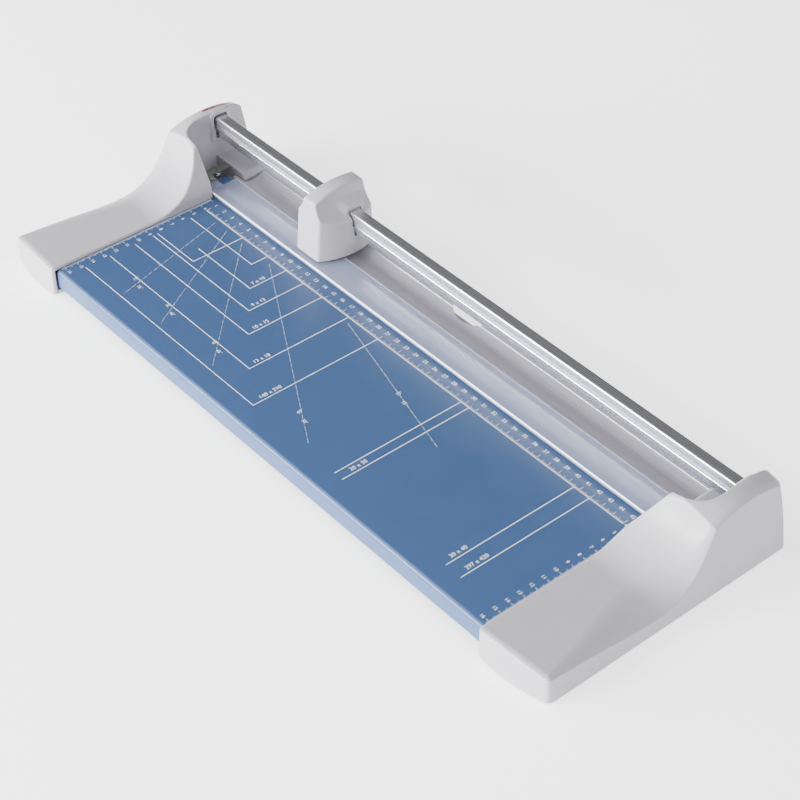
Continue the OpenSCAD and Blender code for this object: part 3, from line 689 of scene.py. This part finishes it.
def cap_field(d, y, z, inlay):
    outside = cap_outside(d, y, z)
    body = rounded(outside, CAP_Z0 - z, 0.4)
    room = pocket(d, y)
    if inlay:
        recess = np.maximum(slab(d, INLAY_D[0] - 0.05, INLAY_D[1] + 0.05),
                            slab(y, INLAY_Y[0] - 0.05, INLAY_Y[1] + 0.05))
        body = without(body, np.maximum(recess, -outside - 0.8), 0.12)
    body = without(body, np.maximum(outside + WALL, WALL - room), 0.5)
    body = without(body, np.maximum(cap_sides(d, y, z) + WALL, z - PLATE_TOP), 0.2)
    body = without(body, room, 0.9)
    bead = rounded(hood(y, z, BEAD, 4.2, RAIL_LOW[2] - 3), slab(d, POCKET_D - 1.4, POCKET_D + WALL), 0.8)
    body = joined(body, bead, 1.0)
    body = joined(body, sill_field(d, y, z), 0.4)
    # the table's edge goes in under the lip, and the rail through the pocket's wall
    for reach, y1 in ((TONGUE + 0.3, POCKET_Y - 3), (WALL + 0.2, POCKET_Y + 1)):
        lip = np.maximum(d - reach, np.maximum(slab(y, CAP_FRONT + 3, y1), z - DECK - 0.06))
        body = without(body, lip, 0.25)
    hole = np.maximum(rail_room(y, z, 1.2, 1.6), slab(d, POCKET_D - 5, POCKET_D + WALL + 1))
    return without(body, hole, 0.3)


CAP_GRID, INLAY_GRID, HEAD_GRID = 0.8, 0.25, 0.5


def cap(name, side, node, inlay=False):
    """One end cap; side is +1 on the right and -1 on the left."""
    corners = np.array([[-0.9, CAP_FRONT - 2, CAP_Z0 - 1], [CAP_W + 1, CAP_BACK + 1, CREST_Z + 3]])
    reach = sorted(side * (corners[:, 0] + CAP_IN))
    piece = skin(name, lambda x, y, z: cap_field(side * x - CAP_IN, y, z, inlay),
                 [reach[0], *corners[0, 1:]], [reach[1], *corners[1, 1:]], CAP_GRID)
    return placed(piece, "frame", "case", "case_grey", node)


def inlay_plate():
    def field(x, y, z):
        d = -x - CAP_IN
        outside = cap_outside(d, y, z)
        plan = rounded(slab(d, *INLAY_D), slab(y, *INLAY_Y), 0.6)
        return rounded(plan, slab(outside, -0.75, 0.25), 0.2)
    box = low("red_inlay") - 1, high("red_inlay") + 1
    piece = skin("red_inlay_plate", field, *box, INLAY_GRID)
    return placed(piece, "frame", "red", "red_inlay", "red_inlay")


# ---- Cutting head ----

SHELL = 2.2
HEAD_HALF = (high("head_shell")[0] - low("head_shell")[0]) / 2
HEAD_FRONT, HEAD_BACK = low("head_shell")[1], high("head_shell")[1]
HEAD_TOP = high("head_shell")[2]
HEAD_BOW = 49.6
HEAD_DRAFT = 0.05
FLANK_R = 24
FLANK_TOP = 6.3
COLLAR_HALF = 14.5
COLLAR_GROW = 3.7
COLLAR_FLARE = 0.8
CAVITY_TOP = DECK + 27
CROWN_R = 75
GLIDE_X = (low("right_glide")[0] - HEAD_X, high("right_glide")[0] - HEAD_X)


def head_outside(x, y, z):
    front = tilted(-y, z, -HEAD_FRONT, HEAD_Z0, 4.6)
    crown = np.hypot(y - CUT_Y - 9, z - HEAD_TOP + CROWN_R) - CROWN_R
    back = rounded(y - HEAD_BACK, tilted(y, z, HEAD_BACK, DECK + 30, 4), 6)
    side = rounded(rounded(front, crown, 1.4), back, 2.0)
    level = np.minimum(z - HEAD_TOP + 1, 0)
    flank = FLANK_R - np.hypot(FLANK_TOP + FLANK_R - np.abs(x), level)
    half = HEAD_HALF - HEAD_DRAFT * (z - HEAD_Z0)
    plan = np.hypot(np.abs(x) + HEAD_BOW - half, y - CUT_Y - 6) - HEAD_BOW
    return rounded(rounded(flank, plan, 0.8), side, 1.4)


def head_field(x, y, z):
    x = x - HEAD_X
    outside = head_outside(x, y, z)
    flare = COLLAR_GROW + COLLAR_FLARE * np.clip(COLLAR_HALF - np.abs(x), 0, 6)
    collar = rounded(hood(y, z, flare, 6.0, RAIL_LOW[2] + 4), np.abs(x) - COLLAR_HALF, 1.0)
    body = joined(rounded(outside, HEAD_Z0 - z, 0.7), collar, 1.0)
    hollow = np.maximum(outside + SHELL, z - CAVITY_TOP)
    body = without(body, hollow, 0.5)
    body = without(body, rail_room(y, z, 0.9, 1.4), 0.4)
    liner = np.maximum(slab(y, low("right_glide")[1] - 0.1, high("right_glide")[1] + 0.1),
                       slab(z, low("right_glide")[2] - 0.1, high("right_glide")[2] + 0.1))
    return without(body, np.maximum(liner, slab(np.abs(x), GLIDE_X[0] - 0.1, GLIDE_X[1] + 0.1)), 0.15)


def head_case():
    margin = 1.5
    piece = skin("head_case", head_field, low("head_shell") - margin, high("head_shell") + margin,
                 HEAD_GRID)
    return placed(piece, "head", "case", "case_grey", "head_shell")


# ---- Table and its print ----

BEND = 3
BOARD_T = 1.2
REAR_FLANGE = 14
FRONT_TONGUE = 9.5


def table_sheet():
    """Folded sheet: front flange, top, and rear flange against the lower blade."""
    top, y0, y1 = DECK, low("board")[1], CUT_Y - 2
    flange = low("board")[2]
    outline = np.concatenate([
        [[y0 + 0.3, flange], [y0, flange + 0.3]],
        arc(y0 + BEND, top - BEND, BEND, 180, 90, 14),
        arc(y1 - 0.6, top - 0.6, 0.6, 90, 0, 4),
        [[y1, top - REAR_FLANGE], [y1 - BOARD_T, top - REAR_FLANGE]],
        arc(y1 - BOARD_T - 0.3, top - BOARD_T - 0.3, 0.3, 0, 90, 3),
        arc(y0 + BEND, top - BEND, BEND - BOARD_T, 90, 180, 10),
        [[y0 + BOARD_T, flange]]])
    parts = [extruded("sheet", outline, -CAP_IN + 0.4, CAP_IN - 0.4)]
    for s in (-1, 1):
        for reach, front, back in ((FRONT_TONGUE, y0 + 8, CUT_Y - 30), (TONGUE, CUT_Y - 25.6, y1)):
            x = sorted((s * (CAP_IN - 0.5), s * (CAP_IN + reach)))
            parts.append(block("tongue", (x[0], front, top - BOARD_T), (x[1], back, top), 0.1))
    return placed(merged("table_sheet", parts), "frame", "paint", "table_blue", "board")


PRINT_H = 0.03
RULER_Y = -40.4
FAN_X = 15                                   # where the angle guides meet the cutting edge
RULER_LINE, FRAME_LINE, ANGLE_LINE = 0.3, 0.36, 0.12
RULER_TICK, SIDE_TICK = 0.16, 0.18
RULER_FIGURE, SIDE_FIGURE, FRAME_FIGURE, ANGLE_FIGURE = 4.2, 3.8, 4.6, 3.6
FORMATS = ((55, 85), (85, 55), (73, 107), (89, 127), (105, 148), (127, 178), (148, 210))
FORMAT_SIZES = (
    ("7 x 10", 103.5, -63), ("9 x 13", 123.5, -78), ("10 x 15", 144.5, -92),
    ("13 x 18", 174.5, -114), ("148 x 210", 206.5, -131), ("20 x 30", 301.2, -132),
    ("30 x 40", 402.2, -135), ("297 x 420", 416.2, -132))


class Print:
    """White marks on the table. x runs from the left cap and y from the cutting edge, in mm."""

    def __init__(self):
        self.points, self.faces = [], []

    def line(self, x0, y0, x1, y1, width):
        a, b = np.array([x0, y0], float), np.array([x1, y1], float)
        along = (b - a) / max(np.linalg.norm(b - a), 1e-9)
        across = np.array([-along[1], along[0]]) * width / 2
        n = len(self.points)
        for z in (DECK - 0.01, DECK + PRINT_H):
            for corner in (a - across, b - across, b + across, a + across):
                self.points.append((corner[0] - CAP_IN, corner[1] + CUT_Y, z))
        self.faces += [[n, n + 3, n + 2, n + 1], [n + 4, n + 5, n + 6, n + 7]]
        self.faces += [[n + i, n + (i + 1) % 4, n + 4 + (i + 1) % 4, n + 4 + i] for i in range(4)]

    def dashes(self, x0, y0, x1, y1, width, dash, gap):
        a, b = np.array([x0, y0], float), np.array([x1, y1], float)
        length = np.linalg.norm(b - a)
        along = (b - a) / length
        at = 0.0
        while at < length:
            end = min(at + dash, length)
            self.line(*(a + along * at), *(a + along * end), width)
            at += dash + gap

    def number(self, text, x, y, size, turn=0.0):
        """Figures centred on x, y, read along X, or along Y after a quarter turn."""
        curve = bpy.data.curves.new("figures", "FONT")
        curve.body = text
        curve.size = size
        curve.align_x, curve.align_y = "CENTER", "CENTER"
        curve.resolution_u = 3
        curve.extrude = PRINT_H / 2
        curve.offset = -0.016 * size
        holder = bpy.data.objects.new("figures", curve)
        bpy.context.scene.collection.objects.link(holder)
        mesh = holder.to_mesh()
        co = np.array([v.co for v in mesh.vertices])
        c, s = math.cos(turn), math.sin(turn)
        n = len(self.points)
        for p in co:
            self.points.append((c * p[0] - s * p[1] + x - CAP_IN, s * p[0] + c * p[1] + y + CUT_Y,
                                DECK + PRINT_H / 2 + p[2]))
        self.faces += [[n + i for i in f.vertices] for f in mesh.polygons]
        holder.to_mesh_clear()
        bpy.data.objects.remove(holder)
        bpy.data.curves.remove(curve)


def tick_length(mm, whole, half, least):
    """Length of a scale's tick at a whole centimetre, a half one or a millimetre."""
    return whole if mm % 10 == 0 else half if mm % 5 == 0 else least


def table_print():
    marks = Print()
    quarter = math.pi / 2
    # ruler along the back: a line with millimetre, half and whole centimetre ticks
    marks.line(10, RULER_Y, 450, RULER_Y, RULER_LINE)
    for mm in range(10, 451):
        marks.line(mm, RULER_Y, mm, RULER_Y + tick_length(mm, 4.4, 2.7, 1.5), RULER_TICK)
    for cm in range(1, 46):
        marks.number(str(cm), 10 * cm, RULER_Y + 9.0, RULER_FIGURE)
    # scales along both end caps, from the cutting edge to the front
    width = 2 * CAP_IN
    for mm in range(30, 163):
        tick = tick_length(mm, 4.2, 3.2, 2.3)
        marks.line(0.2, -mm, tick, -mm, SIDE_TICK)
        marks.line(width - tick, -mm, width - 0.2, -mm, SIDE_TICK)
    for cm in range(4, 17):
        marks.number(str(cm), 7.4, -10 * cm, SIDE_FIGURE)
        marks.number(str(cm), width - 7.6, -10 * cm, SIDE_FIGURE)
    # frames of standard paper and photo sizes; the 7 x 10 one starts further in
    for depth, length in FORMATS:
        begin = 45 if depth == 73 else 10.5
        marks.line(begin, -depth, length, -depth, FRAME_LINE)
        marks.line(length, -depth, length, RULER_Y, FRAME_LINE)
    for x in (297, 305, 406, 420):
        marks.line(x, -148.5, x, RULER_Y, FRAME_LINE)
    for text, x, y in FORMAT_SIZES:
        marks.number(text, x, y, FRAME_FIGURE, quarter)
    # angle guides that fan out from one point on the cutting edge
    for degrees in (15, 30, 45, 60, 75):
        slope = math.tan(math.radians(degrees))
        y_near, y_far = -45, -144 if degrees < 75 else -82
        marks.dashes(FAN_X - slope * y_near, y_near, FAN_X - slope * y_far, y_far, ANGLE_LINE, 4.5, 1.5)
        y_text = y_far + 14
        x_text = FAN_X - slope * y_text
        marks.number(f"{degrees}°", x_text - 5, y_text + 2, ANGLE_FIGURE, quarter)
        marks.number(f"{90 - degrees}°", x_text + 5, y_text - 2, ANGLE_FIGURE)
    piece = solid("table_print", marks.points, marks.faces)
    piece.data.polygons.foreach_set("use_smooth", np.zeros(len(piece.data.polygons), bool))
    return placed(piece, "frame", "ink", "print_white")


# ---- Rear channel and lower blade ----

NOTCH_R = 21.4
NOTCH_REACH = 7.2


def channel():
    """Extrusion with the trough behind the cut, a rear ledge and a finger notch."""
    y_back, z0, end = CHANNEL_BACK, low("rear_channel")[2], high("rear_channel")[0]
    slot, ledge, web = CUT_Y + 2.2, y_back - 2.4, 2.0
    u = np.linspace(0, 1, 25)
    trough = np.stack([slot + (ledge - slot) * u, DECK - 1.7 + 1.2 * u - 5.2 * u * (1 - u)], 1)
    upright = CUT_Y - 5.3
    floor = z0 + web
    outline = np.concatenate([
        [[low("rear_channel")[1], z0], [y_back, z0]],
        arc(y_back - 0.5, DECK - 0.5, 0.5, 0, 90, 5),
        arc(ledge + 0.9, DECK - 0.9, 0.9, 90, 180, 7),
        trough[::-1], [[slot, floor], [upright + web, floor], [upright + web, z0 + 16],
                       [upright, z0 + 16], [upright, floor], [low("rear_channel")[1], floor]]])
    above = [[y, z - web] for y, z in trough[::-1] if y > slot + web]
    cell = np.concatenate([[[ledge, floor]], above, [[slot + web, floor]]])
    body = extruded("channel_body", outline, -end, end)
    inside = extruded("channel_cell", cell, -end - 1, end + 1)
    notch = turned("notch", (0, 0, 0), [(DECK - 7, 0), (DECK - 7, NOTCH_R), (DECK + 4, NOTCH_R),
                                        (DECK + 4, 0)])
    stood_up(notch, 0, y_back - NOTCH_REACH + NOTCH_R)
    for cutter in (inside, notch):
        subtract(body, cutter)
    body.name = "rear_channel_extrusion"
    return placed(crisp(body, 24), "frame", "channel", "channel_grey", "rear_channel")


def subtract(piece, cutter):
    """Cuts one mesh out of another for good."""
    change = piece.modifiers.new("cut", "BOOLEAN")
    change.operation, change.solver, change.object = "DIFFERENCE", "EXACT", cutter
    done = bpy.data.meshes.new_from_object(piece.evaluated_get(bpy.context.evaluated_depsgraph_get()))
    piece.modifiers.clear()
    piece.data = done
    bpy.data.objects.remove(cutter)


# ---- Guide rail ----

FACE_BOW = 0.3
RAIL_GROOVES = (4.2, 5.6, 7.0, 8.2)          # below the rail's top
GROOVE_HALF, GROOVE_DEPTH = 0.16, 0.22


def rail():
    """Extruded rail: flat top, slightly convex faces with fine grooves, a ridge and a narrower foot."""
    z0, z1, corner = RAIL_LOW[2], RAIL_HIGH[2], 1.1
    foot, head = RIDGE_Z + 0.6, z1 - corner

    def out(z):
        return RAIL_HALF - FACE_BOW * abs(2 * (z - foot) / (head - foot) - 1) ** 2

    face = [[out(z), z] for z in np.linspace(foot, head, 11)[:-1]]
    for z in z1 - np.array(RAIL_GROOVES):
        face += [[out(z), z - GROOVE_HALF], [out(z) - GROOVE_DEPTH, z], [out(z), z + GROOVE_HALF]]
    face.sort(key=lambda point: point[1])
    right = np.concatenate([
        arc(RAIL_FOOT - 0.4, z0 + 0.4, 0.4, 270, 350, 4),
        arc(RAIL_HALF - 0.7, RIDGE_Z, 0.7, 290, 400, 7),
        face,
        arc(RAIL_HALF - FACE_BOW - corner, z1 - corner, corner, 0, 90, 8)])
    outline = np.concatenate([right, right[::-1] * (-1, 1)]) + (RAIL_Y, 0)
    piece = extruded("rail_extrusion", outline, RAIL_LOW[0], RAIL_HIGH[0])
    return placed(piece, "frame", "rail", "rail_aluminium", "guide_rail")


# ---- Clamp strip ----

TAB_T = 1.0
TAB_BACK = CUT_Y - 13
STRIP_END = CAP_IN + 4.4
STRIP_EDGE = 0.8


def strip():
    """Clear strip with chamfered, polished long edges and a thin tab at each end; its rounded long edges
    and end faces get a near-white material that is a painted highlight.
    """
    y0, y1 = STRIP_LOW[1], STRIP_HIGH[1]
    z0, z1 = STRIP_LOW[2], STRIP_HIGH[2]
    edge, foot = STRIP_EDGE, 0.25
    outline = np.concatenate([
        arc(y0 + foot, z0 + foot, foot, 180, 270, 3), arc(y1 - foot, z0 + foot, foot, 270, 360, 3),
        arc(y1 - edge, z1 - edge, edge, 0, 90, 8), arc(y0 + edge, z1 - edge, edge, 90, 180, 8)])
    piece = extruded("strip_body", outline, -STRIP_END, STRIP_END)
    tip = STRIP_HIGH[0]
    tabs = [block("tab", (min(s * STRIP_END, s * tip), y0 + 0.4, z0),
                  (max(s * STRIP_END, s * tip), TAB_BACK, z1 - TAB_T), 0.2) for s in (-1, 1)]
    made = placed(merged("clear_strip", [piece, *tabs]), "clamp", "clear", "clear_strip", "clamp_strip")
    # second material, the painted highlight, goes on the rounded long edges and the end faces
    made.data.materials.append(MATERIALS["edge"])
    for face in made.data.polygons:
        middle = face.center / MM
        on_glint_edge = middle[2] > z1 - edge and not y0 + edge < middle[1] < y1 - edge
        if on_glint_edge or STRIP_END - 0.1 < abs(middle[0]) < STRIP_END + 0.1:
            face.material_index = 1
    return made


# ---- Springs, wheel and small parts ----

COIL_STEPS, WIRE_SIDES = 28, 10              # per turn, and around the wire


def coil(name, node, axis, turns, wire, body):
    """Helical spring in the space of its CAD tube, with closed end turns."""
    a, b = low(node) + wire / 2 * axis, high(node) - wire / 2 * axis
    middle = (low(node) + high(node)) / 2
    radius = (high(node) - low(node))[0 if axis[2] else 2] / 2 - wire / 2
    along = 2 if axis[2] else 1
    steps = int(turns * COIL_STEPS)
    share = np.linspace(0, 1, steps)
    lift = np.clip((share * (turns + 1.6) / turns - 0.8 / turns), 0, 1)
    turn = 2 * math.pi * turns * share
    path = np.tile(middle, (steps, 1))
    first, second = (0, 1) if along == 2 else (2, 0)
    path[:, first] += radius * np.cos(turn)
    path[:, second] += radius * np.sin(turn)
    path[:, along] = a[along] + (b[along] - a[along]) * lift
    ahead = np.gradient(path, axis=0)
    ahead /= np.linalg.norm(ahead, axis=1, keepdims=True)
    out = path - middle
    out[:, along] = 0
    out /= np.linalg.norm(out, axis=1, keepdims=True)
    out -= ahead * (out * ahead).sum(1, keepdims=True)
    up = np.cross(ahead, out)
    around = np.linspace(0, 2 * math.pi, WIRE_SIDES, endpoint=False)
    points = (path[:, None] + wire / 2 * (np.cos(around)[None, :, None] * out[:, None]
                                          + np.sin(around)[None, :, None] * up[:, None])).reshape(-1, 3)
    n = WIRE_SIDES
    faces = [[i * n + k, i * n + (k + 1) % n, (i + 1) * n + (k + 1) % n, (i + 1) * n + k]
             for i in range(steps - 1) for k in range(n)]
    faces += [list(range(n - 1, -1, -1)), [(steps - 1) * n + k for k in range(n)]]
    return placed(crisp(solid(name, points, faces), 50), body, "wire", "spring_steel", node)


def wheel():
    """Round blade with its rim ground to an edge on the rear side."""
    y0, y1 = low("cutting_wheel")[1], high("cutting_wheel")[1]
    r = (high("cutting_wheel")[2] - low("cutting_wheel")[2]) / 2
    profile = [(y0, 4.0), (y0, r - 0.05), (y0 + 0.05, r), (y1, r - 1.6), (y1, 4.0)]
    blade = turned("round_blade", AXLE, profile, 192)
    return placed(blade, "wheel", "wheel", "wheel_steel", "cutting_wheel")


def feet():
    parts = []
    for x in (-1, 1):
        for y in (low("feet")[1], high("feet")[1]):
            r = 6.4
            centre = (x * (high("feet")[0] - r), y + (r if y < 0 else -r))
            top = high("feet")[2]
            ring = np.concatenate([[[0, 0], [r - 0.8, 0]], arc(r - 0.4, 0.4, 0.4, 270, 360, 4),
                                   [[r, top], [0, top]]])
            parts.append(stood_up(turned("foot", (0, 0, 0), ring[:, ::-1], 48), *centre))
    return placed(merged("rubber_feet", parts), "frame", "rubber", "rubber_foot", "feet")


def build():
    cap("left_end_cap", -1, "left_cap", inlay=True)
    cap("right_end_cap", 1, "right_cap")
    inlay_plate()
    head_case()
    table_sheet()
    table_print()
    channel()
    rail()
    strip()
    wheel()
    feet()
    up, back = np.array([0, 0, 1]), np.array([0, 1, 0])
    for side in ("left", "right"):
        node = side + "_strip_spring"
        spring = coil(side + "_lift_spring", node, up, 6, 0.9, "frame")
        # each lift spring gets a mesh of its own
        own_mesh(spring)
    coil("hub_spring", "blade_spring", back, 3.5, 0.8, "head")
    for node, body, width, material, slot in (
            ("counter_blade", "frame", 0.08, "steel", "lower_blade"),
            ("counter_blade_screws", "frame", 0.2, "zinc", "fastener_zinc"),
            ("left_cap_floor", "frame", 0.35, "case", "case_grey"),
            ("right_cap_floor", "frame", 0.35, "case", "case_grey"),
            ("case_screws", "frame", 0.15, "zinc", "fastener_zinc"),
            ("left_rail_saddle", "frame", 0.4, "saddle", "saddle_grey"),
            ("right_rail_saddle", "frame", 0.4, "saddle", "saddle_grey"),
            ("rail_screws", "frame", 0.2, "zinc", "fastener_zinc"),
            ("left_strip_hanger", "clamp", 0.2, "hanger", "hanger_zinc"),
            ("right_strip_hanger", "clamp", 0.2, "hanger", "hanger_zinc"),
            ("strip_rivets", "clamp", 0.2, "zinc", "fastener_zinc"),
            ("blade_carrier", "head", 0.4, "dark", "carrier_dark"),
            ("left_glide", "head", 0.2, "acetal", "glide_white"),
            ("right_glide", "head", 0.2, "acetal", "glide_white"),
            ("presser_shoe", "head", 0.4, "acetal", "glide_white"),
            ("wheel_axle", "head", 0.2, "zinc", "fastener_zinc"),
            ("axle_nut", "head", 0.15, "zinc", "fastener_zinc"),
            ("shell_screws", "head", 0.15, "zinc", "fastener_zinc"),
            ("wheel_hub", "wheel", 0.25, "dark", "carrier_dark")):
        placed(dressed(node, width), body, material, slot, node)


# ---- Camera, floor and light ----

CAMERA_AT = (0.869850, -0.696555, 0.951040)
CAMERA_LOOK = (-0.582616, 0.485678, -0.651671)
CAMERA_ROLL = -0.393
CAMERA_LENS = 96.15
DARK_SIDE = (-0.583, 0.486, 0.652)            # where a level mirror shows the studio's dark end


def camera():
    look = Vector(CAMERA_LOOK).normalized()
    level = look.cross(Vector((0, 0, 1))).normalized()
    up = level.cross(look)
    roll = math.radians(CAMERA_ROLL)
    right = level * math.cos(roll) + up * math.sin(roll)
    turn = Matrix((right, right.cross(look), -look)).transposed()
    made = bpy.data.objects.new("camera", bpy.data.cameras.new("camera"))
    made.data.lens = CAMERA_LENS
    made.data.sensor_width = 36
    made.matrix_world = Matrix.Translation(CAMERA_AT) @ turn.to_4x4()
    bpy.context.scene.collection.objects.link(made)
    bpy.context.scene.camera = made


def floor():
    half, z = 6000, -0.02
    corners = [(-half, -half, z), (half, -half, z), (half, half, z), (-half, half, z)]
    piece = solid("floor", corners, [(0, 1, 2, 3)])
    piece.data.materials.append(MATERIALS["floor"])


def area_light(name, at, target, size, power):
    light = bpy.data.lights.new(name, "AREA")
    light.shape, light.size, light.size_y = "RECTANGLE", size[0], size[1]
    light.energy = power
    made = bpy.data.objects.new(name, light)
    made.location = at
    made.rotation_euler = (Vector(target) - Vector(at)).to_track_quat("-Z", "Y").to_euler()
    bpy.context.scene.collection.objects.link(made)


def lights():
    world = bpy.data.worlds.new("studio")
    bpy.context.scene.world = world
    world.use_nodes = True
    nodes, links = world.node_tree.nodes, world.node_tree.links
    where = nodes.new("ShaderNodeTexCoord")
    along = nodes.new("ShaderNodeVectorMath")
    along.operation = "DOT_PRODUCT"
    along.inputs[1].default_value = DARK_SIDE
    links.new(where.outputs["Generated"], along.inputs[0])
    fade = nodes.new("ShaderNodeMapRange")
    fade.interpolation_type = "SMOOTHSTEP"
    fade.inputs["From Min"].default_value, fade.inputs["From Max"].default_value = 0.35, 0.9
    fade.inputs["To Min"].default_value, fade.inputs["To Max"].default_value = 1.0, 0.12
    links.new(along.outputs["Value"], fade.inputs["Value"])
    links.new(fade.outputs["Result"], nodes["Background"].inputs["Strength"])
    nodes["Background"].inputs["Color"].default_value = (0.93, 0.94, 1.0, 1)
    area_light("front_key", (-0.9, -2.3, 0.5), (0, 0, 0.03), (2.4, 0.9), 420)
    area_light("left_front_fill", (-1.5, -1.0, 1.9), (0, 0, 0), (1.6, 1.2), 38)
    area_light("right_fill", (2.0, 0.4, 1.3), (0, 0, 0), (1.0, 1.0), 8)
    area_light("top_fill", (1.1, 0.0, 2.2), (0.1, 0, 0), (1.2, 1.2), 30)


camera()
build()
floor()
lights()
